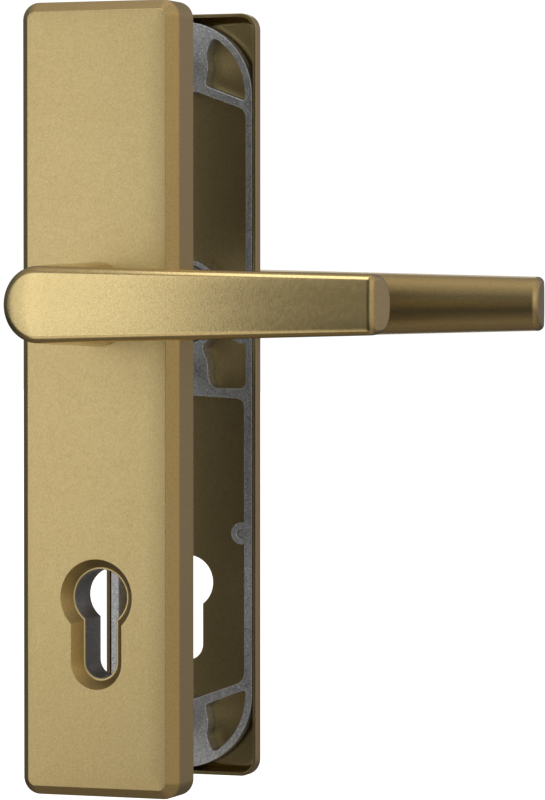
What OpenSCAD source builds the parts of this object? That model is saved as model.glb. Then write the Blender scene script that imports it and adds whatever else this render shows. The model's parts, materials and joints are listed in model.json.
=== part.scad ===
// Security door furniture: two long plates with through-coupled lever handles and euro-profile cut-outs.
// Origin: spindle axis at the outer plate's door face. +X along the levers, +Y into the door, +Z up.

/* [Plates] */
// Width of both plates
plate_w = 53; // [50:0.5:60]
// Top edge above the lever axis
plate_top = 95; // [93:0.5:100]
// Bottom edge below the lever axis
plate_bottom = 155; // [154:0.5:165]
// Corner radius of the plate outline
corner_r = 5.5; // [4.5:0.5:8]
// Width of the bevel round the face
bevel_w = 3.4; // [2.5:0.1:4]
// Depth of the bevel
bevel_d = 4.2; // [3:0.1:4.2]
// Height of the outer plate over the door
outer_t = 16.3; // [15.8:0.1:18]
// Height of the inner plate over the door
inner_t = 8.5; // [8.3:0.1:9]

/* [Door] */
// Door thickness that the set is made up for
door_t = 56.5; // [54:0.5:68]

/* [Cylinder cut-out] */
// Lever axis to cylinder axis
axis_pitch = 92; // [85:1:92]
// Barrel radius of the cut-out in the covers
barrel_r = 8.85; // [8.7:0.05:9]
// Half width of the slot under the barrel
slot_r = 5.3; // [5.1:0.1:5.5]
// Centre of the slot's round end below the barrel
slot_drop = 20.5; // [20:0.1:21]
// Width of the bevel round the outer cut-out
sink_w = 3.2; // [2:0.1:3.5]
// Depth of the bevel round the outer cut-out
sink_d = 4; // [3:0.1:4]

/* [Lever] */
// Lever length from its axis to the tip
lever_len = 108.2; // [95:0.1:125]
// Lever front face over its plate
lever_proj = 46.3; // [42:0.1:55]
// Radius of the neck at the plate
neck_r = 13.3; // [12.8:0.1:14]
// Radius of the hub at the lever's front face
hub_r = 11.55; // [11:0.05:12]
// Half height of the grip at the tip
tip_half = 8.8; // [8:0.1:10]
// Depth of the grip from front to back
grip_d = 13.5; // [12:0.5:15]
// How far the tip stands out past the hub
tip_bow = 2.5; // [0.5:0.1:3]
// Downward travel of the lever in degrees
lever_travel = 40; // [30:1:45]
// Side of the square spindle
spindle_a = 8; // [8:1:8]

/* [Fixings] */
// Heights of the three through fixings
bolt_z = [78, -21.5, -138.5];
// Radius of the threaded posts
post_r = 4; // [3.8:0.1:4]
// Radius of the fixing bolts
bolt_r = 3; // [3:0.1:3]

/* [Hidden] */
$fn = 64;
eps = 0.01;
fit = 0.05;
running = 0.05;

bronze = "#b8a36f";
zinc = "#7d8287";
steel = "#8f9296";
black_steel = "#4a4d52";
polymer = "#2b2b2d";

// Plate layout
half_w = plate_w / 2;
face_half_w = half_w - bevel_w;
face_r = corner_r - bevel_w;
corner_x = half_w - corner_r;
cyl_z = -axis_pitch;
cover_floor = sink_d + 0.3;
cover_wall = 2;
armour_gap = 0.1;
armour_t = outer_t - cover_floor;
steel_barrel_r = barrel_r - 0.2;
steel_slot_r = slot_r - 0.2;

// Inner plate layout, heights counted from the door's inner face
inner_wall = 1.2;
inner_floor = 1.9;
inner_depth = inner_t - inner_floor;
inner_step = 4.6;
inner_ledge = 2.8;
frame_step = 0.3;
frame_half_w = half_w - inner_wall - 0.3;
rail_x_up = frame_half_w - 2.3;
rail_x_low = frame_half_w - 2.9;
arch_top_z = plate_top - inner_wall - frame_half_w - 1;
arch_bot_z = -(plate_bottom - inner_wall - frame_half_w - 0.8);
frame_hub_r = 15;
frame_hub_bore = 13.4;
boss_r = 9.5;
arm_offset = 3.8;
arm_slope = 0.36;
arm_h = 2.9;
mid_bar_top = -27.6;
mid_bar_h = 2.6;
rail_boss_z = [-9.3, -75.3];
rail_boss_r = 3.6;
rail_boss_x = frame_half_w - 3.9;
rivet_r = 1.5;

// Fixings
post_end = door_t - 12;
screw_z = [60, -60];

// Bearings and lever necks
journal_r = 9;
bush_r = 11.5;
bush_flange_r = 12.6;
bush_flange_t = 0.95;
flange_sink = 0.8;
neck_gap = 0.25;
spring_pocket_r = 16.9;
spring_pocket_d = 9;
journal_end = 3.4;
groove_r = 8.35;
ring_out_r = 10.6;
ring_t = 1;
washer_t = 0.8;
outer_washer_r = 12.2;
inner_washer_r = 11.4;
spring_r = 11.5;
spring_wire = 0.6;
outer_ring_y = -spring_pocket_d + washer_t + 0.1;
inner_ring_y = -inner_depth + washer_t + 0.55;
inner_tail = 2.2;
disc_r = 16.3;
disc_t = 1.8;
stop_pin_r = 1.2;
stop_pin_pcr = 13.6;
slot_slack = 0.3;
slot_pad = asin((stop_pin_r + slot_slack) / stop_pin_pcr);
inner_disc_r = 13.1;
inner_disc_t = 1.1;
anchor_pin_r = 0.8;
anchor_pin_x = -11.85;
anchor_pin_z = -4;
square_hole = spindle_a + 2 * fit;
square_depth = 36;
cross_pin_r = 1.5;
cross_pin_y = -5.2;
grub_r = 2.5;
grub_y = 9;
edge_r = 1.6;
tip_edge_r = 1.3;
tip_skew = 0.08;
web_x = 36;
web_d = 22;

// Solids along Y: a flat outline from y0 to y1, and a cone from radius ra at y0 to rb at y1
module along_y(y0, y1) {
    translate([0, y1, 0]) rotate([90, 0, 0]) linear_extrude(y1 - y0) children();
}
module rod_y(y0, y1, r, x = 0, z = 0) {
    translate([x, y0, z]) rotate([-90, 0, 0]) cylinder(h = y1 - y0, r = r);
}
module cone_y(y0, y1, ra, rb, x = 0, z = 0) {
    translate([x, y0, z]) rotate([-90, 0, 0]) cylinder(h = y1 - y0, r1 = ra, r2 = rb);
}
// A profile of [radius, y] points turned about the spindle axis
module turned(profile) {
    rotate([-90, 0, 0]) rotate_extrude($fn = 96) polygon(profile);
}

// Outline of a plate, inset by d
module plate_outline(d) {
    r = corner_r - d;
    x = corner_x;
    z0 = -plate_bottom + corner_r;
    z1 = plate_top - corner_r;
    translate([-x - r, z0]) square([2 * (x + r), z1 - z0]);
    translate([-x, z0 - r]) square([2 * x, z1 - z0 + 2 * r]);
    for (cx = [-x, x], cz = [z0, z1]) translate([cx, cz]) circle(r = r);
}

// Solid block of a plate: straight sides, then the bevel up to the face, standing out towards -Y
module plate_block(t) {
    side = t - bevel_d;
    z0 = -plate_bottom + corner_r;
    z1 = plate_top - corner_r;
    along_y(-side, 0) plate_outline(0);
    translate([0, 0, z0]) linear_extrude(z1 - z0)
        polygon([[-half_w, -side], [half_w, -side], [face_half_w, -t], [-face_half_w, -t]]);
    translate([-corner_x, 0, 0]) rotate([90, 0, 90]) linear_extrude(2 * corner_x)
        polygon([
            [-side, -plate_bottom], [-side, plate_top],
            [-t, plate_top - bevel_w], [-t, -plate_bottom + bevel_w]
        ]);
    for (cx = [-corner_x, corner_x], cz = [z0, z1]) cone_y(-t, -side, face_r, corner_r, cx, cz);
}

// Euro-profile outline at the cylinder's height
module euro_outline(br, sr) {
    translate([0, cyl_z]) circle(r = br);
    translate([0, cyl_z - slot_drop]) circle(r = sr);
    translate([-sr, cyl_z - slot_drop]) square([2 * sr, slot_drop]);
}

// Bevel round the euro cut-out, wide at y0
module euro_sink(y0, y1) {
    w = sink_w;
    cone_y(y0, y1, barrel_r + w, barrel_r, 0, cyl_z);
    cone_y(y0, y1, slot_r + w, slot_r, 0, cyl_z - slot_drop);
    translate([0, 0, cyl_z - slot_drop]) linear_extrude(slot_drop)
        polygon([[-slot_r - w, y0], [slot_r + w, y0], [slot_r, y1], [-slot_r, y1]]);
}

// Mirrors a piece of the outer side to the inner side and sets it on the door's inner face
module inner_side() {
    translate([0, door_t, 0]) mirror([0, 1, 0]) children();
}

module outer_cover() {
    color(bronze) difference() {
        plate_block(outer_t);
        along_y(-armour_t, eps) plate_outline(cover_wall);
        along_y(-outer_t - eps, 0) euro_outline(barrel_r, slot_r);
        euro_sink(-outer_t - eps, -outer_t + sink_d);
        rod_y(-outer_t - eps, 0, bush_r + fit);
        rod_y(-outer_t - eps, -outer_t + flange_sink, bush_flange_r + fit);
        for (z = screw_z) rod_y(-armour_t - 2.5, -armour_t + eps, 1.5, 0, z);
    }
}

module outer_armour_plate() {
    color(black_steel) difference() {
        along_y(-armour_t, 0) plate_outline(cover_wall + armour_gap);
        along_y(-armour_t - eps, eps) euro_outline(steel_barrel_r, steel_slot_r);
        rod_y(-armour_t - eps, 0, bush_r + fit);
        rod_y(-spring_pocket_d, eps, spring_pocket_r);
        for (z = bolt_z) rod_y(-armour_t - eps, eps, post_r + fit, 0, z);
        for (z = bolt_z) rod_y(-armour_t - eps, -armour_t + 2.5, post_r + 2.5 + fit, 0, z);
        for (z = screw_z) rod_y(-armour_t - eps, eps, 1.6, 0, z);
        for (z = screw_z) rod_y(-3.2, eps, 3.1, 0, z);
        rod_y(-armour_t - eps, 0, stop_pin_r + 0.02, -stop_pin_pcr, 0);
    }
}

// Headed posts pressed into the armour plate, each with a blind thread bore towards the inner side
module outer_threaded_posts() {
    color(steel) for (z = bolt_z) difference() {
        union() {
            rod_y(-armour_t + 0.05, post_end, post_r, 0, z);
            rod_y(-armour_t + 0.05, -armour_t + 2.4, post_r + 2.5, 0, z);
        }
        rod_y(post_end - 30, post_end + eps, bolt_r + 0.03, 0, z);
    }
}
module outer_cover_screws() {
    color(steel) for (z = screw_z) difference() {
        union() {
            rod_y(-armour_t - 2.3, -1, 1.45, 0, z);
            rod_y(-3.1, -0.4, 3, 0, z);
        }
        translate([0, 0, z]) rotate([-90, 0, 0]) translate([0, 0, -1.8]) cylinder(h = 2, r = 1.3, $fn = 6);
    }
}

// Flanged bush for a lever's journal, from the flange down to y = -tail
module bush(t, tail) {
    turned([
        [journal_r + running, -t - bush_flange_t + flange_sink], [bush_flange_r, -t - bush_flange_t + flange_sink],
        [bush_flange_r, -t + flange_sink], [bush_r, -t + flange_sink], [bush_r, -tail],
        [journal_r + running, -tail]
    ]);
}

module outer_bearing_bush() {
    color(polymer) bush(outer_t, spring_pocket_d);
}

module inner_bearing_bush() {
    color(polymer) inner_side() bush(inner_t, inner_depth - 0.4);
}

module washer(y, r) {
    turned([[journal_r + 0.1, y], [r, y], [r, y + washer_t], [journal_r + 0.1, y + washer_t]]);
}

module outer_thrust_washer() {
    color(steel) washer(-spring_pocket_d + 0.02, outer_washer_r);
}

module inner_thrust_washer() {
    color(steel) inner_side() washer(-inner_depth + 0.45, inner_washer_r);
}

module outer_stop_pin() {
    color(steel) rod_y(-armour_t + 0.1, -0.4, stop_pin_r, -stop_pin_pcr, 0);
}

// Dished inner cover: thin rim, flat floor with the lever hole, the cut-out and three countersinks
module inner_cover() {
    color(bronze) inner_side() difference() {
        plate_block(inner_t);
        along_y(-inner_step, eps) plate_outline(inner_wall);
        along_y(-inner_depth, 0) plate_outline(inner_ledge);
        along_y(-inner_t - eps, 0) euro_outline(barrel_r, slot_r);
        rod_y(-inner_t - eps, 0, bush_r + fit);
        rod_y(-inner_t - eps, -inner_t + flange_sink, bush_flange_r + fit);
        for (z = bolt_z) rod_y(-inner_t - eps, 0, bolt_r + 0.3, 0, z);
        for (z = bolt_z) cone_y(-inner_t - eps, -inner_t + inner_floor, 5.4, bolt_r + 0.3, 0, z);
    }
}

// Rounds the corners of an outline of [x, z, cut] vertices: each corner is cut back by up to cut along
// both of its edges and replaced by a quadratic curve of n steps
function toward(p, q, cut) = p + (q - p) * min(cut / norm(q - p), 0.49);
function rounded(v, n = 6) = [
    for (i = [0:len(v) - 1]) let (
        p = [v[i][0], v[i][1]],
        a = v[(i + len(v) - 1) % len(v)],
        b = v[(i + 1) % len(v)],
        pa = toward(p, [a[0], a[1]], v[i][2]),
        pb = toward(p, [b[0], b[1]], v[i][2]),
        last = v[i][2] > 0 ? n : 0
    ) for (s = [0:last]) let (t = s / n) (1 - t) * (1 - t) * pa + 2 * t * (1 - t) * p + t * t * pb
];

// Kidney window beside an end boss, built about the end arch's centre with the plate's end at +y:
// wavy inner side, arch-shaped outer side and a sloping floor over the arm
module kidney() {
    r = frame_half_w - 2.2;
    polygon(rounded(concat(
        [
            [8.5, arm_offset + arm_h - arm_slope * 8.5 + 0.2, 2.2],
            [8.9, 6.3, 0.9],
            [9.8, 10, 1.8],
            [8.8, 13.8, 1.8],
            [11.2, r * sin(60.5), 2.6]
        ],
        [for (a = [46, 31, 16]) [r * cos(a), r * sin(a), 2.8]],
        [[r * cos(2), arm_offset + arm_h - arm_slope * r, 1.6]]
    )));
}

module racetrack(r) {
    translate([0, arch_top_z]) circle(r = r);
    translate([0, arch_bot_z]) circle(r = r);
    translate([-r, arch_bot_z]) square([2 * r, arch_top_z - arch_bot_z]);
}

// Window round the lever's hub, from the middle bar up to the top arms
module upper_window() {
    x = rail_x_up;
    apex = arch_top_z + arm_offset;
    polygon(rounded([
        [x, mid_bar_top - 0.1, 2.3], [x, apex - arm_slope * x, 3], [0, apex, 4],
        [-x, apex - arm_slope * x, 3], [-x, mid_bar_top - 0.1, 2.3]
    ]));
}

// Window for the lock cylinder, from the middle bar down to the bottom arms
module lower_window() {
    x = rail_x_low;
    apex = arch_bot_z - arm_offset;
    top = mid_bar_top - mid_bar_h;
    polygon(rounded([
        [x, top - 0.9, 3], [x, apex + arm_slope * x, 3], [0, apex, 4],
        [-x, apex + arm_slope * x, 3], [-x, top - 0.9, 3], [-4, top, 2], [4, top, 2]
    ]));
}

// Web with wavy sides that carries the hub from the middle bar
module hub_web() {
    side = [[8.4, -6, 0], [9.6, -11.5, 1], [7.2, -14.8, 2], [9.4, -18.6, 2.4], [9.7, -25, 1.6],
        [11.2, -27.4, 1.4], [15, -27.8, 0], [15, -29, 0]];
    n = len(side);
    polygon(rounded(concat(side, [for (i = [n - 1:-1:0]) [-side[i][0], side[i][1], side[i][2]]])));
}

module frame_outline() {
    difference() {
        union() {
            difference() {
                racetrack(frame_half_w);
                difference() {
                    upper_window();
                    hub_web();
                }
                lower_window();
                for (m = [0, 1]) mirror([m, 0]) {
                    translate([0, arch_top_z]) kidney();
                    translate([0, arch_bot_z]) mirror([0, 1]) kidney();
                }
            }
            circle(r = frame_hub_r);
            for (z = bolt_z) translate([0, z]) circle(r = boss_r);
            intersection() {
                racetrack(frame_half_w);
                for (x = [-1, 1], z = rail_boss_z) translate([x * rail_boss_x, z]) circle(r = rail_boss_r);
            }
        }
        circle(r = frame_hub_bore);
        for (z = bolt_z) translate([0, z]) circle(r = bolt_r + 0.3);
        for (x = [-1, 1], z = rail_boss_z) translate([x * rail_boss_x, z]) circle(r = rivet_r + 0.03);
    }
}

module inner_base_frame() {
    foot_half_w = half_w - inner_ledge - 0.3;
    color(zinc) inner_side() {
        along_y(-inner_step + 0.1, -frame_step) frame_outline();
        along_y(-inner_depth, -inner_step + 0.1) intersection() {
            frame_outline();
            racetrack(foot_half_w);
        }
    }
}

// Short rivets that hold the frame in the cover at the rail bosses
module frame_rivets() {
    color(zinc) inner_side() for (x = [-1, 1], z = rail_boss_z)
        rod_y(-inner_depth + 0.02, -frame_step - 0.9, rivet_r, x * rail_boss_x, z);
}

module spring_anchor_pin() {
    color(steel) inner_side()
        rod_y(-inner_depth + 0.02, -frame_step - 1.6, anchor_pin_r, anchor_pin_x, anchor_pin_z);
}

// Countersunk bolts with a hexagon socket, driven from the inner side into the posts
module fixing_bolts() {
    head_y = door_t + inner_t - 0.15;
    color(steel) for (z = bolt_z) difference() {
        union() {
            rod_y(post_end - 14, head_y - 1, bolt_r, 0, z);
            cone_y(head_y - 1.75, head_y, bolt_r, 5.05, 0, z);
        }
        translate([0, head_y - 1.5, z]) rotate([-90, 0, 0]) cylinder(h = 2, r = 2.3, $fn = 6);
    }
}

// Lever profile: half height, front face and depth along the grip
bow_x0 = 12;
function half_h(x) = hub_r - (hub_r - tip_half) * x / lever_len;
function front_y(x) = -outer_t - lever_proj + 0.05
    - (x < bow_x0 ? 0 : (tip_bow + 0.05) * pow((x - bow_x0) / (lever_len - bow_x0), 2));
function grip_depth(x) = grip_d + (x < web_x ? web_d * (1 - sqrt(1 - pow((web_x - x) / (web_x - bow_x0), 2))) : 0);

// D-shaped section at station x, inset by d: flat front with rounded edges, half-elliptic back
function section(x, xs, d) = let (
    h = half_h(xs) - d,
    y0 = front_y(xs) + d,
    depth = grip_depth(xs) - 2 * d,
    r = edge_r
) [
    for (a = [-90:22.5:0]) [x, y0 + r - r * cos(a), h - r - r * sin(a)],
    for (a = [0:22.5:90]) [x, y0 + r - r * cos(a), r - h - r * sin(a)],
    for (a = [9:9:171]) [x, y0 + r + (depth - r) * sin(a), -h * cos(a)]
];
function skewed(p, xs) = [p[0] + tip_skew * (p[1] - front_y(xs)) * pow(xs / lever_len, 2), p[1], p[2]];

// Stations along the grip, then the rounded edge at the tip as [x, station, inset]
stations = concat(
    [for (i = [0:9]) let (x = bow_x0 + 0.4 + (web_x - bow_x0 - 0.4) * pow(i / 9, 1.6)) [x, x, 0]],
    [for (x = [web_x + 9:9:lever_len - 4]) [x, x, 0]],
    [for (a = [0:30:90]) [lever_len - tip_edge_r * (1 - sin(a)), lever_len - tip_edge_r * (1 - sin(a)),
        tip_edge_r * (1 - cos(a))]]
);
grip_rings = concat(
    [section(3, bow_x0 + 0.4, 0.3)],
    [for (s = stations) [for (p = section(s[0], s[1], s[2])) skewed(p, s[1])]]
);

module loft(rings) {
    n = len(rings[0]);
    m = len(rings);
    polyhedron(
        points = [for (r = rings) for (p = r) p],
        faces = concat(
            [[for (i = [0:n - 1]) i]],
            [[for (i = [n - 1:-1:0]) (m - 1) * n + i]],
            [for (j = [0:m - 2]) for (i = [0:n - 1]) [j * n + i, (j + 1) * n + i, j * n + (i + 1) % n]],
            [for (j = [0:m - 2]) for (i = [0:n - 1])
                [j * n + (i + 1) % n, (j + 1) * n + i, (j + 1) * n + (i + 1) % n]]
        )
    );
}

// Lever for a plate of height t, standing out towards -Y, with its journal ending at y = -tail
module lever(t, tail, ring_y) {
    shift = outer_t - t;
    back = -t - neck_gap;
    front = -t - lever_proj;
    difference() {
        union() {
            translate([0, shift, 0]) loft(grip_rings);
            turned(concat(
                [[0, front], [hub_r - edge_r, front]],
                [for (a = [15:15:90]) [hub_r - edge_r + edge_r * sin(a), front + edge_r - edge_r * cos(a)]],
                [[neck_r, back - 0.6], [neck_r - 0.4, back], [journal_r, back], [journal_r, ring_y - fit],
                    [groove_r, ring_y - fit], [groove_r, ring_y + ring_t + fit],
                    [journal_r, ring_y + ring_t + fit], [journal_r, -tail], [0, -tail]]
            ));
        }
        translate([-square_hole / 2, -tail - square_depth, -square_hole / 2])
            cube([square_hole, square_depth + 1, square_hole]);
    }
}

module outer_lever() {
    color(bronze) difference() {
        lever(outer_t, journal_end, outer_ring_y);
        translate([0, cross_pin_y, 0]) cylinder(h = 30, r = cross_pin_r + 0.02, center = true);
    }
}

module inner_lever() {
    color(bronze) inner_side() difference() {
        lever(inner_t, inner_tail, inner_ring_y);
        translate([0, -inner_t - grub_y, -20]) cylinder(h = 20, r = grub_r + 0.02);
    }
}

module spindle() {
    y0 = -journal_end - square_depth + 2;
    y1 = door_t + inner_tail + square_depth - 2;
    color(steel) difference() {
        translate([-spindle_a / 2, y0, -spindle_a / 2]) cube([spindle_a, y1 - y0, spindle_a]);
        translate([0, cross_pin_y, 0]) cylinder(h = 30, r = cross_pin_r + 0.02, center = true);
    }
}

module spindle_cross_pin() {
    color(steel) translate([0, cross_pin_y, 0])
        cylinder(h = 2 * journal_r - 1, r = cross_pin_r, center = true);
}

module lever_grub_screw() {
    z0 = -neck_r + 1;
    color(black_steel) translate([0, door_t + inner_t + grub_y, z0]) difference() {
        cylinder(h = -z0 - spindle_a / 2 - 0.02, r = grub_r);
        translate([0, 0, -1]) cylinder(h = 3, r = 1.25, $fn = 6);
    }
}

// Open retaining ring
module snap_ring(y) {
    difference() {
        turned([[groove_r + 0.02, y], [ring_out_r, y], [ring_out_r, y + ring_t], [groove_r + 0.02, y + ring_t]]);
        translate([-2, y - 1, 0]) cube([4, ring_t + 2, 20]);
    }
}

module outer_retaining_ring() {
    color(steel) snap_ring(outer_ring_y);
}

module inner_retaining_ring() {
    color(steel) inner_side() snap_ring(inner_ring_y);
}

// Disc on the spindle; the stop pin runs in its curved slot and ends the lever's travel
module outer_drive_disc() {
    y0 = -disc_t - 0.6;
    color(steel) difference() {
        rod_y(y0, y0 + disc_t, disc_r);
        translate([-square_hole / 2, y0 - 1, -square_hole / 2]) cube([square_hole, disc_t + 2, square_hole]);
        difference() {
            rod_y(y0 - 1, y0 + disc_t + 1, stop_pin_pcr + stop_pin_r + slot_slack);
            rod_y(y0 - 2, y0 + disc_t + 2, stop_pin_pcr - stop_pin_r - slot_slack);
            rotate([0, slot_pad, 0]) translate([-30, y0 - 3, 0]) cube([60, 10, 30]);
            rotate([0, -lever_travel - slot_pad, 0]) translate([-30, y0 - 3, -30]) cube([60, 10, 30]);
        }
    }
}
module inner_drive_disc() {
    color(black_steel) inner_side() difference() {
        rod_y(-frame_step - inner_disc_t, -frame_step, inner_disc_r);
        translate([-square_hole / 2, -5, -square_hole / 2]) cube([square_hole, 10, square_hole]);
    }
}

// Torsion spring of round wire about the spindle axis, swept as rings along a helix
module coil_spring(r, wire, y0, y1, turns) {
    steps = round(turns * 24);
    rings = [for (i = [0:steps]) let (
        a = i * 360 * turns / steps,
        y = y0 + (y1 - y0) * i / steps
    ) [for (k = [0:7]) let (b = k * 45, q = r + wire * cos(b)) [q * cos(a), y + wire * sin(b), q * sin(a)]]];
    loft(rings);
}

module outer_return_spring() {
    color(steel) coil_spring(spring_r, spring_wire, -6.1, -3.2, 2);
}

module inner_return_spring() {
    color(steel) inner_side() coil_spring(11.1, 0.5, -3.6, -2.1, 1.25);
}

outer_cover();
outer_armour_plate();
outer_threaded_posts();
outer_cover_screws();
outer_bearing_bush();
outer_thrust_washer();
outer_stop_pin();
inner_cover();
inner_base_frame();
frame_rivets();
inner_bearing_bush();
inner_thrust_washer();
spring_anchor_pin();
fixing_bolts();
outer_lever();
inner_lever();
spindle();
spindle_cross_pin();
lever_grub_screw();
outer_retaining_ring();
inner_retaining_ring();
outer_drive_disc();
inner_drive_disc();
outer_return_spring();
inner_return_spring();
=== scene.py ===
"""Security lever handle set: two bevelled plates, coupled levers, euro cut-outs and the works between them."""
import json
import math

import bmesh
import bpy
import numpy as np
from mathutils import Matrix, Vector


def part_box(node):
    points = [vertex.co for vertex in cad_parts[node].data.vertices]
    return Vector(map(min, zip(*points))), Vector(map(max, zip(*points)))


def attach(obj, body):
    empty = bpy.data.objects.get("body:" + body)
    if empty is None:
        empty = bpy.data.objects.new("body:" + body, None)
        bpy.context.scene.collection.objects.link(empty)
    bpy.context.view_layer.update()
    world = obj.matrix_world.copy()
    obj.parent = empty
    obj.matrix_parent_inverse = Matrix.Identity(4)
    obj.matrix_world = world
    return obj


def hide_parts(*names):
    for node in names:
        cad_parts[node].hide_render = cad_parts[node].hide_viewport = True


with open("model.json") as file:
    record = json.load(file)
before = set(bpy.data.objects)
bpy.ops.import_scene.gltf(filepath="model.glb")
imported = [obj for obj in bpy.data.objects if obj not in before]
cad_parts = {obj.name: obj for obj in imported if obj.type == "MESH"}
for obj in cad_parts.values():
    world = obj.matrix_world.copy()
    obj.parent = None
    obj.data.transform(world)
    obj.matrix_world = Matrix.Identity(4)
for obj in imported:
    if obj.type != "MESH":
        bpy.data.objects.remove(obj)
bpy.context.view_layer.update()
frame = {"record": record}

MM = 0.001
scene = bpy.context.scene

# Places read from the CAD frame
outer_lo, outer_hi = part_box("outer_cover")
inner_lo, inner_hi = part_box("inner_cover")
armour_t = -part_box("outer_armour_plate")[0][1]
half_w = outer_hi[0]
plate_top = outer_hi[2]
plate_bottom = outer_lo[2]
outer_t = -outer_lo[1]
door_y = inner_lo[1]
inner_t = inner_hi[1] - door_y
mounts = {m["name"]: m for m in frame["record"]["mounts"]}
cyl_z = mounts["outer_cylinder_bore"]["pos_m"][2]
bolt_z = [mounts["post_" + n]["pos_m"][2] for n in ("top", "middle", "bottom")]

# Plates: outline, bevel, the crown of the face beside it, and the sheet's thickness in each cover
corner_r = 5.5 * MM
corner_min_r = 0.8 * MM
bevel_w = 3.1 * MM
bevel_d = 4.2 * MM
crown_w = 6.8 * MM
crown_drop = 0.2 * MM
edge_cut = 0.4 * MM
cover_wall = 2 * MM
inner_wall = 1.2 * MM
inner_step = 4.6 * MM
inner_ledge = 2.8 * MM
inner_floor = 1.9 * MM

# Euro cut-out: barrel, slot, the sunk bevel round the outer one and the flat land at the bevel's foot
barrel_r = 8.85 * MM
slot_r = 5.3 * MM
slot_drop = 20.5 * MM
sink_w = 3.2 * MM
sink_d = 4 * MM
land_w = 0.5 * MM
sink_cut = 0.12 * MM

# Other holes: bearing bush and its flange, fixing bolts, and blind pilots of the cover screws
bush_hole_r = 11.55 * MM
flange_hole_r = 12.65 * MM
flange_sink = 0.8 * MM
bolt_hole_r = 3.3 * MM
bolt_sink_r = 5.4 * MM
pilot_r = 1.5 * MM
pilot_d = 2.5 * MM
screw_z = [60 * MM, -60 * MM]

# Levers, in millimetres as their field is. The neck is a cone from HUB_R in front to NECK_R at the plate, and its
# fillet with the grip widens with depth
HUB_R = 11.55
NECK_R = 13.3
PROJ = 46.3
NECK_GAP = 0.25
NECK_END_R = 0.6
FILLET_MIN = 0.25
FILLET_GAIN = 3.2
FILLET_FROM = 4
FILLET_OVER = 18

# Grip: half heights at the hub and the tip, depth, power of its rounded back, the web that deepens it towards the
# neck, and how much further out than a circle its hub end stands
LEVER_LEN = 108.15
GRIP_HALF = 11.8
TIP_HALF = 8.98
GRIP_D = 13.5
BACK_POWER = 2.35
WEB_X = 36.0
WEB_D = 22.0
HUB_SHIFT = 1.1

# Front of the grip: it bows forward to the tip, falls away round the hub and along the edges, and its edge is rounded
TIP_BOW = 2.48
BOW_X0 = 12.0
HUB_CROWN = 1.2
HUB_CROWN_X = 2.0
EDGE_CROWN = 0.75
HUB_EDGE_R = 2.6
TIP_EDGE_R = 2.0

# End face: its lean, and the radius that its edge reaches towards the back on the outer and on the inner lever
TIP_SKEW = 0.08
TIP_BACK_R = 0.9
INNER_TIP_R = 2.2
TIP_BACK_FROM = 2
TIP_BACK_OVER = 7

# Square bore, grub screw hole and bearing journal
SQUARE_HALF = 4.05
SQUARE_D = 23
GRUB_R = 2.5
GRUB_UP = 9.0
GRUB_EDGE_R = 0.4
JOURNAL_R = 9.0
JOURNAL_START = 1.0
GROOVE_R = 8.35
GROOVE_W = 1.1

# Grid on which the lever's surface is sampled
NET_LO = (-15.0, -3.4, -14.6)
NET_HI = (110.6, 47, 14.6)
NET_CELL = 0.45

# Fixing bolts, in millimetres: shank, thread, countersunk head and hexagon socket
BOLT_R = 2.98
BOLT_SIDES = 32
THREAD_PITCH = 1
THREAD_DEPTH = 0.5
THREAD_RINGS = 10
HEAD_R = 5.0
HEAD_TOP_R = 4.9
HEAD_H = 1.75
SOCKET_HALF = 2
SOCKET_D = 1.5

# Springs: sides of the wire and rings in a turn
WIRE_SIDES = 14
COIL_RINGS = 60

# Camera: focal length and sensor in millimetres, and its place round a target
LENS = 189.4
SENSOR = 36
CAMERA_TARGET = (45.62, 20, -30.42)
CAMERA_YAW = 20.114
CAMERA_ELEVATION = 1.421
CAMERA_DISTANCE = 1336.5

# Floor, and the white that the camera sees behind the object
FLOOR_Z = -0.32
FLOOR_HALF = 12
BACKDROP = 1.05

# Studio round the object, in degrees and radiance: its walls by yaw from -Y towards +X, the share of them that each
# elevation gets, and what ceiling and floor add by elevation
WALLS = [
    (-180, 0.22), (-150, 0.14), (-90, 0.14), (-60, 0.3), (-40, 0.5), (-18, 0.16), (6, 0.1), (26, 0.6), (45, 0.78),
    (70, (0.86, 0.74, 0.59)), (95, (0.72, 0.61, 0.48)), (130, (0.45, 0.42, 0.43)), (148, (0.54, 0.49, 0.49)),
    (168, (0.2, 0.2, 0.27)), (180, 0.22),
]
HEIGHTS = [(-60, 0.2), (-14, 0.35), (0, 0.74), (14, 1.0), (32, 0.7), (52, 0.25), (90, 0.1)]
CEILING = [
    (-90, (0.18, 0.15, 0.12)), (-50, (0.12, 0.1, 0.08)), (-20, 0.0), (20, 0.0), (60, (0.4, 0.36, 0.33)),
    (90, (0.6, 0.53, 0.48)),
]


# ---------------------------------------------------------------- camera, floor and light

def turned_place(target, yaw, elevation, distance):
    """Point at a yaw from -Y towards +X and an elevation, both in degrees, round a target."""
    a, e = math.radians(yaw), math.radians(elevation)
    return target + distance * Vector((math.sin(a) * math.cos(e), -math.cos(a) * math.cos(e), math.sin(e)))


def aim(obj, target):
    obj.rotation_euler = (target - obj.location).to_track_quat("-Z", "Y").to_euler()


def add_camera():
    data = bpy.data.cameras.new("camera")
    data.lens = LENS
    data.sensor_width = SENSOR
    data.sensor_fit = "AUTO"
    camera = bpy.data.objects.new("camera", data)
    scene.collection.objects.link(camera)
    target = Vector(CAMERA_TARGET) * MM
    camera.location = turned_place(target, CAMERA_YAW, CAMERA_ELEVATION, CAMERA_DISTANCE * MM)
    aim(camera, target)
    scene.camera = camera


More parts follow.
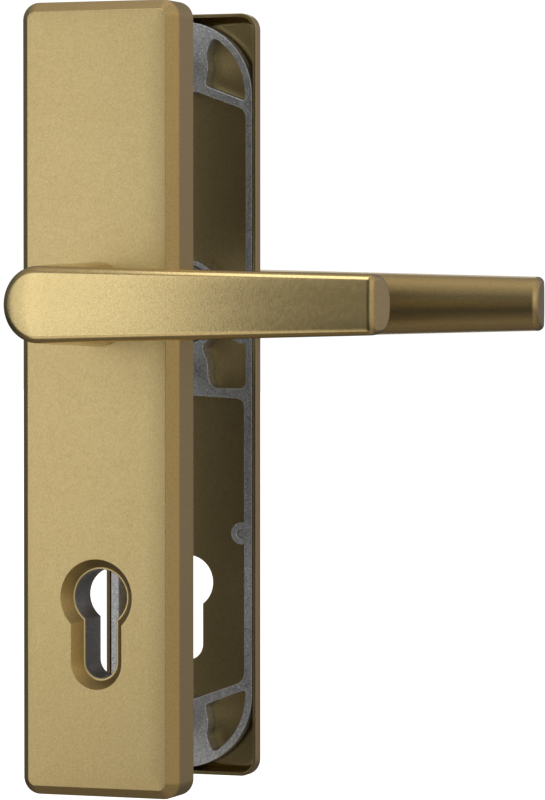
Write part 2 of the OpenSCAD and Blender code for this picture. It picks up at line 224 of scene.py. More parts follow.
def softbox(name, centre, facing, width, height, radiance, colour=(1, 1, 1)):
    """Rectangular studio light with its places and sizes in millimetres. Its energy is what gives its face the
    radiance, since a face sends out pi times its radiance for each unit of area."""
    data = bpy.data.lights.new(name, "AREA")
    data.shape = "RECTANGLE"
    data.size = width * MM
    data.size_y = height * MM
    data.energy = math.pi * radiance * data.size * data.size_y
    data.color = colour
    light = bpy.data.objects.new(name, data)
    scene.collection.objects.link(light)
    light.location = Vector(centre) * MM
    aim(light, Vector(facing) * MM)
    light.visible_camera = False
    return light


def shade_from(light, *objects):
    """Keeps a lamp's light off these objects, as a flag in front of it would."""
    group = bpy.data.collections.new(light.name + "_flagged")
    light.light_linking.receiver_collection = group
    for obj in objects:
        group.objects.link(obj)
    for entry in group.collection_objects:
        entry.light_linking.link_state = "EXCLUDE"


def ramp(nodes, stops):
    """Colour ramp over stops of (position, grey or colour)."""
    node = nodes.new("ShaderNodeValToRGB")
    elements = node.color_ramp.elements
    while len(elements) < len(stops):
        elements.new(0.5)
    for element, (position, value) in zip(elements, stops):
        element.position = position
        element.color = (*value, 1) if isinstance(value, tuple) else (value, value, value, 1)
    return node


def add_world():
    """White backdrop for the camera. Everything else sees a dim studio, graded by yaw and by elevation."""
    world = bpy.data.worlds.new("studio")
    scene.world = world
    world.use_nodes = True
    nodes, links = world.node_tree.nodes, world.node_tree.links
    nodes.clear()

    def math_node(operation, *values):
        node = nodes.new("ShaderNodeMath")
        node.operation = operation
        for socket, value in zip(node.inputs, values):
            if isinstance(value, (int, float)):
                socket.default_value = value
            else:
                links.new(value, socket)
        return node.outputs[0]

    def blended(kind, a, b):
        node = nodes.new("ShaderNodeMix")
        node.data_type = "RGBA"
        node.blend_type = kind
        node.inputs["Factor"].default_value = 1
        links.new(a, node.inputs["A"])
        links.new(b, node.inputs["B"])
        return node.outputs["Result"]

    def graded(factor, stops):
        node = ramp(nodes, stops)
        links.new(factor, node.inputs["Fac"])
        return node.outputs["Color"]

    def by_elevation(stops):
        return [(0.5 + math.sin(math.radians(e)) / 2, value) for e, value in stops]

    def background(strength):
        node = nodes.new("ShaderNodeBackground")
        node.inputs["Color"].default_value = (1, 1, 1, 1)
        node.inputs["Strength"].default_value = strength
        return node

    direction = nodes.new("ShaderNodeSeparateXYZ")
    links.new(nodes.new("ShaderNodeTexCoord").outputs["Generated"], direction.inputs[0])
    yaw = math_node("ARCTAN2", direction.outputs["X"], math_node("MULTIPLY", direction.outputs["Y"], -1))
    turn = math_node("MULTIPLY_ADD", yaw, 0.5 / math.pi, 0.5)
    rise = math_node("MULTIPLY_ADD", direction.outputs["Z"], 0.5, 0.5)
    walls = graded(turn, [(0.5 + a / 360, value) for a, value in WALLS])
    walls = blended("MULTIPLY", walls, graded(rise, by_elevation(HEIGHTS)))
    room = background(1)
    links.new(blended("ADD", walls, graded(rise, by_elevation(CEILING))), room.inputs["Color"])
    mix = nodes.new("ShaderNodeMixShader")
    links.new(nodes.new("ShaderNodeLightPath").outputs["Is Camera Ray"], mix.inputs["Fac"])
    links.new(room.outputs["Background"], mix.inputs[1])
    links.new(background(BACKDROP).outputs["Background"], mix.inputs[2])
    links.new(mix.outputs["Shader"], nodes.new("ShaderNodeOutputWorld").inputs["Surface"])


def add_floor():
    """Plain pale floor under the object, bright enough to meet the backdrop without a line."""
    bm = bmesh.new()
    bmesh.ops.create_grid(bm, x_segments=1, y_segments=1, size=FLOOR_HALF)
    mesh = bpy.data.meshes.new("floor")
    bm.to_mesh(mesh)
    bm.free()
    floor = bpy.data.objects.new("floor", mesh)
    scene.collection.objects.link(floor)
    floor.location.z = FLOOR_Z
    floor.visible_glossy = False
    material = bpy.data.materials.new("pale_floor")
    material.use_nodes = True
    shader = material.node_tree.nodes["Principled BSDF"]
    shader.inputs["Base Color"].default_value = (0.9, 0.9, 0.9, 1)
    shader.inputs["Roughness"].default_value = 0.9
    shader.inputs["Emission Color"].default_value = (1, 1, 1, 1)
    shader.inputs["Emission Strength"].default_value = 0.9
    mesh.materials.append(material)


scene.view_settings.view_transform = "Standard"
add_camera()
add_world()
add_floor()
# A key light in two tall parts lights the fronts, a low one the plate's foot, one overhead the upper edges and one
# behind the inner side
studio = [
    softbox("key_right_part", (-124, -325, 17), (-61, -32, 17), 112, 336, 1.22),
    softbox("key_left_part", (-234, -301, 17), (-171, -8, 17), 110, 336, 0.75),
    softbox("key_low", (-178, -325, -300), (-90, -40, -120), 235, 300, 0.75, (1, 0.95, 0.88)),
    softbox("overhead", (-12, -200, 310), (-12, -120, 0), 150, 270, 1.9),
]
back = softbox("back", (-560, 760, 60), (-60, 0, -20), 1000, 900, 0.8)


# ---------------------------------------------------------------- materials

class Paint:
    """A node material round one Principled shader, with helpers for its procedural textures."""

    def __init__(self, name, colour, metallic, roughness):
        self.material = bpy.data.materials.new(name)
        self.material.use_nodes = True
        tree = self.material.node_tree
        self.nodes, self.links = tree.nodes, tree.links
        self.shader = self.nodes["Principled BSDF"]
        self.colour = colour
        self.shader.inputs["Base Color"].default_value = (*colour, 1)
        self.shader.inputs["Metallic"].default_value = metallic
        self.shader.inputs["Roughness"].default_value = roughness
        self.coords = self.nodes.new("ShaderNodeTexCoord").outputs["Object"]
        self.normal = None

    def noise(self, scale, detail=3.0, rough=0.6, stretch=(1, 1, 1)):
        mapping = self.nodes.new("ShaderNodeMapping")
        mapping.inputs["Scale"].default_value = stretch
        texture = self.nodes.new("ShaderNodeTexNoise")
        texture.inputs["Scale"].default_value = scale
        texture.inputs["Detail"].default_value = detail
        texture.inputs["Roughness"].default_value = rough
        self.links.new(self.coords, mapping.inputs["Vector"])
        self.links.new(mapping.outputs["Vector"], texture.inputs["Vector"])
        return texture.outputs["Fac"]

    def spread(self, value, low, high, start=0.3, end=0.7):
        """Maps a texture's middle range to low..high."""
        node = self.nodes.new("ShaderNodeMapRange")
        node.inputs["From Min"].default_value = start
        node.inputs["From Max"].default_value = end
        node.inputs["To Min"].default_value = low
        node.inputs["To Max"].default_value = high
        self.links.new(value, node.inputs["Value"])
        return node.outputs["Result"]

    def tint(self, factor, other):
        """Mixes the colour so far towards another one where the factor is high."""
        mix = self.nodes.new("ShaderNodeMix")
        mix.data_type = "RGBA"
        mix.inputs["A"].default_value = (*self.colour, 1)
        mix.inputs["B"].default_value = (*other, 1)
        base = self.shader.inputs["Base Color"]
        if base.is_linked:
            self.links.new(base.links[0].from_socket, mix.inputs["A"])
        self.links.new(factor, mix.inputs["Factor"])
        self.links.new(mix.outputs["Result"], base)

    def edges(self, radius):
        """High where the surface turns within a radius: the mask for a painted highlight along the edges."""
        rounded = self.nodes.new("ShaderNodeBevel")
        rounded.samples = 4
        rounded.inputs["Radius"].default_value = radius
        flat = self.nodes.new("ShaderNodeNewGeometry")
        dot = self.nodes.new("ShaderNodeVectorMath")
        dot.operation = "DOT_PRODUCT"
        self.links.new(rounded.outputs["Normal"], dot.inputs[0])
        self.links.new(flat.outputs["True Normal"], dot.inputs[1])
        turn = self.nodes.new("ShaderNodeMath")
        turn.operation = "SUBTRACT"
        turn.inputs[0].default_value = 1
        self.links.new(dot.outputs["Value"], turn.inputs[1])
        return turn.outputs["Value"]

    def roughness(self, value):
        self.links.new(value, self.shader.inputs["Roughness"])

    def bump(self, value, strength, distance):
        """Relief from a texture; later ones lie on the earlier ones."""
        node = self.nodes.new("ShaderNodeBump")
        node.inputs["Strength"].default_value = strength
        node.inputs["Distance"].default_value = distance
        self.links.new(value, node.inputs["Height"])
        if self.normal:
            self.links.new(self.normal, node.inputs["Normal"])
        self.normal = node.outputs["Normal"]
        self.links.new(self.normal, self.shader.inputs["Normal"])


def bronze(name, rough):
    """Satin bronze-anodised aluminium: fine blasted grain of light and dark spots with a faint cloudy tone."""
    paint = Paint(name, (0.59, 0.46, 0.215), 1.0, rough)
    grain = paint.noise(2000, 2.0, 0.7)
    cloud = paint.noise(28, 3.0, 0.5)
    paint.tint(paint.spread(cloud, 0.0, 0.35), (0.54, 0.41, 0.175))
    paint.tint(paint.spread(grain, 0.0, 0.5, 0.4, 0.75), (0.74, 0.61, 0.33))
    paint.tint(paint.spread(paint.noise(1800, 2.0, 0.7), 0.35, 0.0, 0.3, 0.52), (0.40, 0.28, 0.10))
    paint.roughness(paint.spread(paint.noise(700, 3.0), rough - 0.02, rough + 0.02))
    paint.bump(grain, 0.22, 0.05 * MM)
    return paint.material


def cast_zinc():
    """Raw die-cast zinc: mottled grey skin with bright specks, dark pits and a painted highlight along its edges."""
    paint = Paint("cast_zinc", (0.40, 0.415, 0.42), 0.85, 0.4)
    mottle = paint.noise(520, 5.0, 0.7)
    speck = paint.noise(1250, 3.0, 0.8)
    pit = paint.noise(1700, 2.0, 0.7)
    paint.tint(paint.spread(mottle, 0.0, 0.6, 0.4, 0.66), (0.50, 0.50, 0.50))
    paint.tint(paint.spread(pit, 0.75, 0.0, 0.32, 0.48), (0.14, 0.145, 0.15))
    paint.tint(paint.spread(speck, 0.0, 0.9, 0.56, 0.66), (0.92, 0.92, 0.90))
    # Painted highlight: edges tinted near white, standing in for light caught by the rounded edges
    paint.tint(paint.spread(paint.edges(0.4 * MM), 0.0, 0.85, 0.02, 0.2), (0.95, 0.95, 0.94))
    paint.roughness(paint.spread(mottle, 0.3, 0.5))
    paint.bump(mottle, 0.35, 0.12 * MM)
    paint.bump(speck, 0.3, 0.05 * MM)
    return paint.material


def dark_steel():
    """Hardened armour steel with a grey phosphate skin: fine mottling and faint machining lines."""
    paint = Paint("dark_steel", (0.21, 0.21, 0.215), 0.85, 0.42)
    mottle = paint.noise(650, 4.0, 0.7)
    lines = paint.noise(900, 2.0, 0.5, (1, 0.06, 1))
    paint.tint(paint.spread(mottle, 0.0, 0.7), (0.34, 0.34, 0.345))
    paint.tint(paint.spread(lines, 0.0, 0.25), (0.15, 0.15, 0.15))
    paint.roughness(paint.spread(paint.noise(300), 0.36, 0.52))
    paint.bump(mottle, 0.3, 0.06 * MM)
    return paint.material


def plated_steel():
    """Zinc-plated steel: pale, slightly blue, with soft drawn streaks."""
    paint = Paint("plated_steel", (0.68, 0.69, 0.70), 1.0, 0.3)
    streak = paint.noise(500, 3.0, 0.55, (1, 0.05, 1))
    paint.tint(paint.spread(streak, 0.0, 0.5), (0.56, 0.58, 0.62))
    paint.roughness(paint.spread(paint.noise(260), 0.26, 0.36))
    paint.bump(streak, 0.08, 0.02 * MM)
    return paint.material


def spring_wire():
    """Oiled spring wire, drawn smooth."""
    paint = Paint("spring_wire", (0.24, 0.235, 0.23), 1.0, 0.3)
    film = paint.noise(600, 4.0)
    paint.tint(paint.spread(film, 0.0, 0.5), (0.36, 0.33, 0.28))
    paint.roughness(paint.spread(film, 0.22, 0.4))
    paint.bump(film, 0.1, 0.02 * MM)
    return paint.material


def bush_polymer():
    """Moulded black bearing plastic with a fine spark-eroded texture."""
    paint = Paint("bush_polymer", (0.028, 0.028, 0.03), 0.0, 0.5)
    texture = paint.noise(1800, 3.0, 0.6)
    paint.tint(paint.spread(texture, 0.0, 0.6), (0.05, 0.05, 0.052))
    paint.roughness(paint.spread(texture, 0.42, 0.6))
    paint.bump(texture, 0.3, 0.04 * MM)
    return paint.material


plate_bronze = bronze("plate_bronze", 0.39)
lever_bronze = bronze("lever_bronze", 0.2)
shaded_bronze = bronze("shaded_bronze", 0.3)
zinc = cast_zinc()
armour = dark_steel()
plated = plated_steel()
wire = spring_wire()
polymer = bush_polymer()


# ---------------------------------------------------------------- mesh helpers

def add_piece(name, mesh, material, body, replaced=()):
    """Smooth-shaded object that rides on a body and stands for the CAD nodes it replaces."""
    piece = bpy.data.objects.new(name, mesh)
    scene.collection.objects.link(piece)
    mesh.materials.append(material)
    mesh.shade_smooth()
    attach(piece, body)
    if replaced:
        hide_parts(*replaced)
    return piece


def soften(obj, width, segments=3, angle=26):
    """Rounds edges sharper than an angle in degrees and keeps flat faces flat."""
    bevel = obj.modifiers.new("soft_edges", "BEVEL")
    bevel.width = width
    bevel.segments = segments
    bevel.limit_method = "ANGLE"
    bevel.angle_limit = math.radians(angle)
    bevel.use_clamp_overlap = False
    bevel.harden_normals = True
    bevel.miter_outer = "MITER_ARC"


def skin(bm, loops):
    """Quads between equal closed loops of points. Returns the vertices of the first and last loop."""
    rows = [[bm.verts.new(p) for p in loop] for loop in loops]
    for a, b in zip(rows, rows[1:]):
        for i in range(len(a)):
            j = (i + 1) % len(a)
            bm.faces.new((a[i], a[j], b[j], b[i]))
    return rows[0], rows[-1]


def fill(bm, loops):
    """Flat face between an outer loop of vertices and the loops of its holes."""
    edges = []
    for loop in loops:
        for i in range(len(loop)):
            edges.append(bm.edges.get((loop[i], loop[(i + 1) % len(loop)])))
    bmesh.ops.triangle_fill(bm, use_beauty=True, use_dissolve=False, edges=edges)


def finished(bm, name):
    """Mesh with all its faces turned outwards."""
    bmesh.ops.recalc_face_normals(bm, faces=bm.faces)
    mesh = bpy.data.meshes.new(name)
    bm.to_mesh(mesh)
    bm.free()
    return mesh


def arc(cx, cz, r, start, end, steps):
    """Points (x, z) on an arc, in degrees from +X towards +Z."""
    angles = [math.radians(start + (end - start) * i / steps) for i in range(steps + 1)]
    return [(cx + r * math.cos(a), cz + r * math.sin(a)) for a in angles]


def at_height(outline, y):
    return [(x, y, z) for x, z in outline]


def circle(r, z=0.0, steps=64):
    return arc(0, z, r, 0, 360 * (steps - 1) / steps, steps - 1)


def plate_outline(inset):
    """Rounded rectangle of the plates; its corners keep their centres until their radius is small."""
    r = max(corner_r - inset, corner_min_r)
    cx = half_w - inset - r
    z1 = plate_top - inset - r
    z0 = plate_bottom + inset + r
    corners = ((cx, z1, 0), (-cx, z1, 90), (-cx, z0, 180), (cx, z0, 270))
    return [p for x, z, a in corners for p in arc(x, z, r, a, a + 90, 12)]


def euro_outline(offset):
    """Euro-profile hole grown by an offset: barrel arc and round-ended slot meeting in two creases."""
    r = barrel_r + offset
    s = slot_r + offset
    half = math.degrees(math.asin(s / r))
    barrel = arc(0, cyl_z, r, half - 90, 270 - half, 48)
    return barrel + arc(0, cyl_z - slot_drop, s, 180, 360, 24)


def eased(profile, steps=4):
    """Rounds the corners of a profile of (distance, y, cut): each is cut back along both sides and curved."""
    points = []
    for i, (d, y, cut) in enumerate(profile):
        p = np.array((d, y))
        if cut == 0:
            points.append(p)
            continue
        ends = []
        for other in (profile[i - 1], profile[i + 1]):
            side = np.array(other[:2]) - p
            ends.append(p + side * cut / np.linalg.norm(side))
        for k in range(steps + 1):
            t = k / steps
            points.append((1 - t) ** 2 * ends[0] + 2 * t * (1 - t) * p + t * t * ends[1])
    return points


def cover_mesh(name, place, rim, holes, blind=()):
    """Closed cover. rim is a profile of (inset, y, cut) from the face round to the floor inside. holes pair an
    outline function with a profile from the face to the floor, and blind holes start at the floor and end closed.
    y is negative outwards from the door, and place turns it into the scene's y."""
    def loops(outline, profile):
        return [at_height(outline(d), place(y)) for d, y in eased(profile)]

    bm = bmesh.new()
    face, floor = skin(bm, loops(plate_outline, rim))
    face_loops, floor_loops = [face], [floor]
    for outline, profile in holes:
        first, last = skin(bm, loops(outline, profile))
        face_loops.append(first)
        floor_loops.append(last)
    for outline, profile in blind:
        first, last = skin(bm, loops(outline, profile))
        floor_loops.append(first)
        bm.faces.new(last)
    fill(bm, face_loops)
    fill(bm, floor_loops)
    return finished(bm, name)


def flatten(obj):
    """Keeps creases sharp and lets the large flat faces set the normals along soft edges."""
    obj.data.set_sharp_from_angle(angle=math.radians(28))
    normals = obj.modifiers.new("flat_normals", "WEIGHTED_NORMAL")
    normals.weight = 90
    normals.keep_sharp = True


def outer_place(y):
    return y


def inner_place(y):
    return door_y - y


# ---------------------------------------------------------------- covers

def hole_outline(z, steps):
    """Outline function of a round hole on the plate's centre line: its offset is the hole's radius."""
    def outline(r):
        return circle(r, z, steps)
    return outline


def crown(inset, y):
    """Start of a rim profile: the flat face falls away in a shallow parabola towards its edge."""
    steps = [i / 6 for i in range(6)]
    return [(inset + crown_w * (1 - t), y + crown_drop * t * t, 0) for t in steps]


def outer_cover():
    """Deep cover whose floor lies on the armour plate, with the sunk cut-out and two blind pilots."""
    rim = crown(bevel_w, -outer_t) + [
        (bevel_w, crown_drop - outer_t, edge_cut / 2), (0, bevel_d - outer_t, edge_cut), (0, 0, 0.25 * MM),
        (cover_wall, 0, 0.25 * MM), (cover_wall, -armour_t, 0),
    ]
    cut_out = [
        (sink_w + MM, -outer_t, 0), (sink_w, -outer_t, sink_cut), (land_w, sink_d - outer_t, sink_cut),
        (0, sink_d - outer_t, sink_cut), (0, -armour_t, 0),
    ]
    bush = [
        (flange_hole_r, -outer_t, 0), (flange_hole_r, flange_sink - outer_t, 0),
        (bush_hole_r, flange_sink - outer_t, 0), (bush_hole_r, -armour_t, 0),
    ]
    pilot = [(pilot_r, -armour_t, 0), (pilot_r, -armour_t - pilot_d, 0)]
    holes = [(euro_outline, cut_out), (hole_outline(0, 64), bush)]
    pilots = [(hole_outline(z, 16), pilot) for z in screw_z]
    mesh = cover_mesh("cover_outer", outer_place, rim, holes, pilots)
    piece = add_piece("cover_outer", mesh, plate_bronze, "plates", ["outer_cover"])
    flatten(piece)
    return piece


def inner_cover():
    """Shallow dished cover with a thin rim, the plain cut-out and three countersunk bolt holes."""
    floor_y = inner_floor - inner_t
    rim = crown(bevel_w, -inner_t) + [
        (bevel_w, crown_drop - inner_t, edge_cut), (0, bevel_d - inner_t, edge_cut), (0, 0, 0.3 * MM),
        (inner_wall, 0, 0.3 * MM), (inner_wall, 0.6 * MM - inner_step, 0.3 * MM), (inner_ledge, floor_y, 0.8 * MM),
        (inner_ledge + 1.2 * MM, floor_y, 0),
    ]
    cut_out = [(MM, -inner_t, 0), (0, -inner_t, 0.3 * MM), (0, floor_y, 0.15 * MM), (0.5 * MM, floor_y, 0)]
    bush = [
        (flange_hole_r, -inner_t, 0), (flange_hole_r, flange_sink - inner_t, 0),
        (bush_hole_r, flange_sink - inner_t, 0), (bush_hole_r, floor_y, 0),
    ]
    bolt = [
        (bolt_sink_r + 0.5 * MM, -inner_t, 0), (bolt_sink_r, -inner_t, 0.2 * MM), (bolt_hole_r, floor_y, 0),
    ]
    holes = [(euro_outline, cut_out), (hole_outline(0, 64), bush)]
    holes += [(hole_outline(z, 40), bolt) for z in bolt_z]
    mesh = cover_mesh("cover_inner", inner_place, rim, holes)
    piece = add_piece("cover_inner", mesh, shaded_bronze, "plates", ["inner_cover"])
    flatten(piece)
    return piece


# ---------------------------------------------------------------- levers

def smooth_min(a, b, k):
    """Union of two fields with a fillet about k wide."""
    h = np.maximum(k - np.abs(a - b), 0) / k
    return np.minimum(a, b) - h * h * k / 4


def round_max(a, b, r):
    """Intersection of two fields with the common edge rounded to radius r."""
    return np.minimum(np.maximum(a, b), -r) + np.hypot(np.maximum(a + r, 0), np.maximum(b + r, 0))


def lever_field(p, tip_back_r, grub):
    """Signed field of a lever in millimetres: x along the grip, t inwards from the front face, z up.
    A conical neck runs into a D-section grip through a wide web, and all outer edges are rounded."""
    x, t, z = p
    neck_len = PROJ - NECK_GAP
    neck = np.hypot(x, z) - (HUB_R + (NECK_R - HUB_R) * t / neck_len)
    along = np.clip(x, 0, LEVER_LEN)
    half = GRIP_HALF - (GRIP_HALF - TIP_HALF) * along / LEVER_LEN
    edge = HUB_EDGE_R - (HUB_EDGE_R - TIP_EDGE_R) * along / LEVER_LEN
    v = np.hypot(np.minimum(x + HUB_SHIFT, 0), z) / half
    bow = TIP_BOW * (np.maximum(x - BOW_X0, 0) / (LEVER_LEN - BOW_X0)) ** 2
    hub_crown = HUB_CROWN * (np.minimum(x - HUB_CROWN_X, 0) / (HUB_R + HUB_CROWN_X)) ** 2
    below = t + bow - hub_crown - EDGE_CROWN * np.minimum(v, 1) ** 4
    turn = np.clip((WEB_X - along) / (WEB_X - BOW_X0), 0, 1)
    depth = GRIP_D - edge + WEB_D * (1 - np.sqrt(1 - turn * turn))
    u = np.maximum(below - edge, 0) / depth
    n = BACK_POWER
    q = np.maximum((u ** n + v ** n) ** (1 / n), 1e-4)
    slope = np.hypot(u ** (n - 1) / depth, v ** (n - 1) / half) / q ** (n - 1)
    grip = (q - 1) / np.maximum(slope, 0.02)
    fillet = FILLET_MIN + FILLET_GAIN * np.clip((t - FILLET_FROM) / FILLET_OVER, 0, 1)
    solid = smooth_min(neck, grip, fillet)
    solid = round_max(solid, -below, edge)
    tip_r = TIP_EDGE_R + (tip_back_r - TIP_EDGE_R) * np.clip((below - TIP_BACK_FROM) / TIP_BACK_OVER, 0, 1)
    solid = round_max(solid, (x - LEVER_LEN - TIP_SKEW * below) / math.hypot(1, TIP_SKEW), tip_r)
    solid = round_max(solid, t - neck_len, NECK_END_R)
    bore = np.maximum(np.maximum(np.abs(x), np.abs(z)) - SQUARE_HALF, neck_len - SQUARE_D - t)
    solid = np.maximum(solid, -bore)
    if grub:
        hole = np.maximum(np.hypot(x, t - (PROJ - GRUB_UP)) - GRUB_R, z + SQUARE_HALF)
        solid = round_max(solid, -hole, GRUB_EDGE_R)
    return solid


def field_normal(field, p, step=0.02):
    """Normalised gradient of a field at points p, and its length."""
    parts = []
    for axis in range(3):
        shift = np.zeros((3, 1))
        shift[axis] = step
        parts.append((field(p + shift) - field(p - shift)) / (2 * step))
    g = np.stack(parts)
    length = np.maximum(np.linalg.norm(g, axis=0), 1e-6)
    return g / length, length


def surface_net(field, lo, hi, cell):
    """Points and quads of a field's closed zero surface: one point for each grid cell that the surface crosses, moved
    on to the surface, and one quad round each grid edge that it crosses."""
    axes = [np.arange(a, b + cell, cell) for a, b in zip(lo, hi)]
    values = field(np.stack(np.meshgrid(*axes, indexing="ij")))
    size = values.shape
    inside = values < 0
    count = np.zeros([n - 1 for n in size])
    centre = np.zeros([3] + [n - 1 for n in size])
    crossings = np.zeros([n - 1 for n in size])
    for corner in np.ndindex(2, 2, 2):
        part = tuple(slice(c, n - 1 + c) for c, n in zip(corner, size))
        count += inside[part]
        for axis in range(3):
            if corner[axis]:
                continue
            far = tuple(slice(c + (k == axis), n - 1 + c + (k == axis)) for k, (c, n) in enumerate(zip(corner, size)))
            cut = inside[part] != inside[far]
            share = np.where(cut, values[part] / np.where(cut, values[part] - values[far], 1), 0)
            crossings += cut
            for k in range(3):
                centre[k] += cut * (share if k == axis else corner[k])
    mixed = (count > 0) & (count < 8)
    index = np.full(mixed.shape, -1)
    index[mixed] = np.arange(mixed.sum())
    base = np.stack(np.nonzero(mixed))
    points = np.array(lo)[:, None] + cell * (base + centre[:, mixed] / crossings[mixed])
    quads = []
    for axis in range(3):
        near = [slice(1, -1)] * 3
        far = [slice(1, -1)] * 3
        near[axis] = slice(0, -1)
        far[axis] = slice(1, None)
        cut = np.nonzero(inside[tuple(near)] != inside[tuple(far)])
        where = [c + (0 if k == axis else 1) for k, c in enumerate(cut)]
        b, c = [k for k in range(3) if k != axis]
        ring = []
        for db, dc in ((0, 0), (1, 0), (1, 1), (0, 1)):
            place = list(where)
            place[b] = where[b] - db
            place[c] = where[c] - dc
            ring.append(index[tuple(place)])
        quads.append(np.stack(ring, axis=1))
    for _ in range(4):
        normal, length = field_normal(field, points)
        points = points - normal * np.clip(field(points) / length, -cell, cell)
    return points, np.concatenate(quads)


def lever(name, node, material, face_y, outward, tip_back_r, grub):
    """Grip and neck of a lever in front of a plate's face; outward is -1 on the outer side and 1 on the inner."""
    def field(p):
        return lever_field(p, tip_back_r, grub)

    points, quads = surface_net(field, NET_LO, NET_HI, NET_CELL)
    normals, _ = field_normal(field, points)
    front = face_y + outward * PROJ * MM

    def placed(v, origin):
        return np.stack([v[0], -outward * v[1], v[2]], axis=1) + origin

    mesh = bpy.data.meshes.new(name)
    mesh.from_pydata(placed(points * MM, (0, front, 0)).tolist(), [], quads.tolist())
    bm = bmesh.new()
    bm.from_mesh(mesh)
    bmesh.ops.recalc_face_normals(bm, faces=bm.faces)
    bm.to_mesh(mesh)
    bm.free()
    piece = add_piece(name, mesh, material, "lever_set", [node])
    mesh.normals_split_custom_set_from_vertices(placed(normals, (0, 0, 0)).tolist())
    return piece


def journal(name, face_y, outward, tail_y, ring_y):
    """Bearing journal behind the neck, with its groove for the retaining ring and its square bore."""
    y0 = face_y + outward * JOURNAL_START * MM
    groove = outward * GROOVE_W * MM / 2
    r, g = JOURNAL_R * MM, GROOVE_R * MM
    profile = [
        (r, y0), (r, ring_y + groove), (g, ring_y + groove), (g, ring_y - groove), (r, ring_y - groove), (r, tail_y),
    ]
    s = SQUARE_HALF * MM
    square = [(x * s / max(abs(x), abs(z)), z * s / max(abs(x), abs(z))) for x, z in circle(1)]
    loops = [at_height(circle(radius), y) for radius, y in profile]
    loops += [at_height(square, tail_y), at_height(square, y0)]
    bm = bmesh.new()
    first, last = skin(bm, loops)
    for i in range(len(first)):
        j = (i + 1) % len(first)
        bm.faces.new((last[i], last[j], first[j], first[i]))
    piece = add_piece(name, finished(bm, name), lever_bronze, "lever_set")
    soften(piece, 0.12 * MM, 2)


# ---------------------------------------------------------------- fixings and springs

def thread_radius(y, angle, pitch, r, depth):
    """Radius of a thread with flattened crests and roots, at a height and an angle."""
    phase = (y / pitch - angle / (2 * math.pi)) % 1
    tooth = min(max(abs(2 * phase - 1) * 1.5 - 0.25, 0), 1)
    return r - depth * tooth


def threaded_bolts():
    """Countersunk bolts with a hexagon socket and a cut thread where they enter the posts."""
    lo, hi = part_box("fixing_bolts")
    head_y, end_y = hi[1], lo[1]
    pitch, r = THREAD_PITCH * MM, BOLT_R * MM
    thread_start = end_y + 0.6 * MM
    thread_end = door_y - 2 * MM
    steps = int((thread_end - end_y) / pitch * THREAD_RINGS)
    angles = [2 * math.pi * k / BOLT_SIDES for k in range(BOLT_SIDES)]
    bm = bmesh.new()
    for z in bolt_z:
        def ring(radius, y):
            return at_height(circle(radius, z, BOLT_SIDES), y)

        loops = [ring(1.8 * MM, end_y), ring(2.3 * MM, end_y + 0.5 * MM)]
        for i in range(steps + 1):
            y = thread_start + (thread_end - thread_start) * i / steps
            depth = THREAD_DEPTH * MM * min(1, i / THREAD_RINGS, (steps - i) / THREAD_RINGS)
            radii = [thread_radius(y, a, pitch, r, depth) for a in angles]
            loops.append([(math.cos(a) * q, y, z + math.sin(a) * q) for a, q in zip(angles, radii)])
        loops += [ring(r, head_y - HEAD_H * MM), ring(HEAD_R * MM, head_y - 0.05 * MM), ring(HEAD_TOP_R * MM, head_y)]
        hexagon = []
        for a in angles:
            q = SOCKET_HALF * MM / math.cos(a % (math.pi / 3) - math.pi / 6)
            hexagon.append((math.cos(a) * q, z + math.sin(a) * q))
        loops += [at_height(hexagon, head_y), at_height(hexagon, head_y - SOCKET_D * MM)]
        first, last = skin(bm, loops)
        bm.faces.new(first)
        bm.faces.new(last)
    mesh = finished(bm, "bolts_threaded")
    piece = add_piece("bolts_threaded", mesh, plated, "plates", ["fixing_bolts"])
    soften(piece, 0.12 * MM, 2, 40)


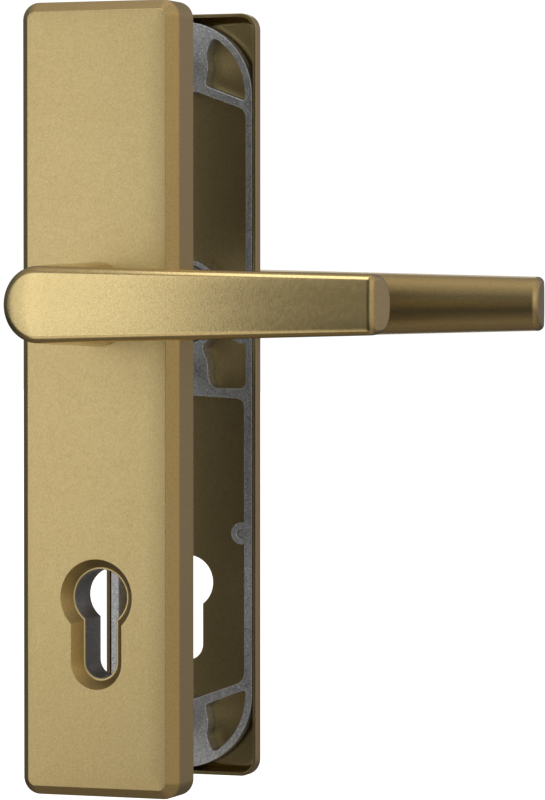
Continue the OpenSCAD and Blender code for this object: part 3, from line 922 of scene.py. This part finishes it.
def coil(name, node, turns, wire_r):
    """Torsion spring of round wire in the box of its CAD node. The wire tapers over its last rings."""
    lo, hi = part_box(node)
    r = hi[0] - wire_r
    y0, y1 = lo[1] + wire_r, hi[1] - wire_r
    steps = int(turns * COIL_RINGS)
    loops = []
    for i in range(steps + 1):
        a = 2 * math.pi * turns * i / steps
        y = y0 + (y1 - y0) * i / steps
        w = wire_r * min(1, 0.55 + min(i, steps - i) * 0.225)
        ring = []
        for k in range(WIRE_SIDES):
            b = 2 * math.pi * k / WIRE_SIDES
            q = r + w * math.cos(b)
            ring.append((q * math.cos(a), y + w * math.sin(b), q * math.sin(a)))
        loops.append(ring)
    bm = bmesh.new()
    first, last = skin(bm, loops)
    bm.faces.new(first)
    bm.faces.new(last)
    add_piece(name, finished(bm, name), wire, "lever_set", [node])


def dress(node, material, edge):
    """Keeps a CAD node: gives it its material, joins its faces and softens its sharp edges."""
    obj = bpy.data.objects[node]
    for place in obj.material_slots:
        place.material = material
    weld = obj.modifiers.new("weld", "WELD")
    weld.merge_threshold = 0.000001
    flat = obj.modifiers.new("flat_faces", "DECIMATE")
    flat.decimate_type = "DISSOLVE"
    flat.angle_limit = math.radians(0.5)
    soften(obj, edge, 2, 30)


# ---------------------------------------------------------------- assembly

outer_plate = outer_cover()
inner_plate = inner_cover()
outer_lever = lever("lever_outer", "outer_lever", lever_bronze, -outer_t, -1, TIP_BACK_R, False)
inner_lever = lever("lever_inner", "inner_lever", shaded_bronze, door_y + inner_t, 1, INNER_TIP_R, True)
for lamp in studio:
    shade_from(lamp, inner_plate, inner_lever)
shade_from(back, outer_plate, outer_lever, bpy.data.objects["outer_armour_plate"])
ring_lo, ring_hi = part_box("outer_retaining_ring")
journal("journal_outer", -outer_t, -1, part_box("outer_lever")[1][1], (ring_lo[1] + ring_hi[1]) / 2)
ring_lo, ring_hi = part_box("inner_retaining_ring")
journal("journal_inner", door_y + inner_t, 1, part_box("inner_lever")[0][1], (ring_lo[1] + ring_hi[1]) / 2)
threaded_bolts()
coil("spring_outer", "outer_return_spring", 2, 0.6 * MM)
coil("spring_inner", "inner_return_spring", 1.25, 0.5 * MM)

kept_nodes = (
    (zinc, 0.3 * MM, ("inner_base_frame", "frame_rivets")),
    (armour, 0.15 * MM, ("outer_armour_plate", "inner_drive_disc", "lever_grub_screw")),
    (plated, 0.1 * MM, (
        "outer_threaded_posts", "outer_cover_screws", "outer_thrust_washer", "inner_thrust_washer", "outer_stop_pin",
        "spring_anchor_pin", "spindle", "spindle_cross_pin", "outer_retaining_ring", "inner_retaining_ring",
        "outer_drive_disc",
    )),
    (polymer, 0.08 * MM, ("outer_bearing_bush", "inner_bearing_bush")),
)
for material, edge, names in kept_nodes:
    for name in names:
        dress(name, material, edge)
